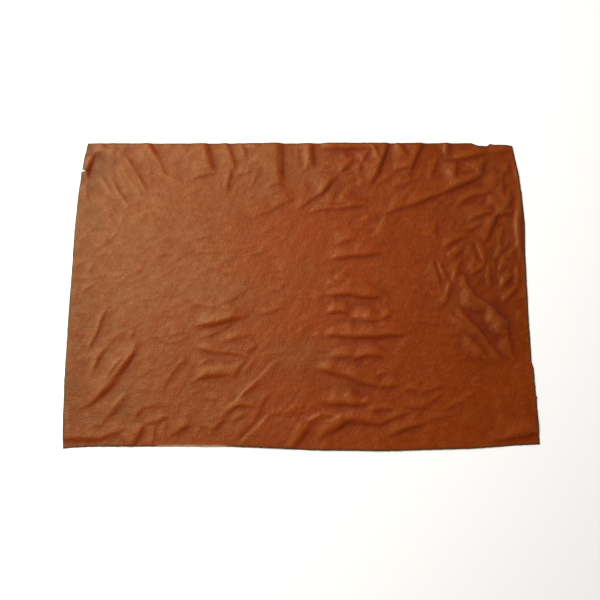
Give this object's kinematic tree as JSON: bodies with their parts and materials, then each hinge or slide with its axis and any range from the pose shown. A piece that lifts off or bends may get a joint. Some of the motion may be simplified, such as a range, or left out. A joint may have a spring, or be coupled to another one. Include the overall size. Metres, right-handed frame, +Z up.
{
  "type": "upholstery leather",
  "caption": "Thin tan hide cut to a near-rectangle, lying open on a table with low folds and fine creases, with a small snip near a corner.",
  "frame": {"origin": "on the table, under the middle of the piece", "axes": "+X along the longer side, +Y across towards the edge with the snipped corner, +Z up out of the table"},
  "size_m": [0.944, 0.6471, 0.0071],
  "materials": {
    "hide": "tan, semi-gloss, finely creased"
  },
  "bodies": {
    "root": {"leather_sheet": "hide"}
  },
  "joints": []
}
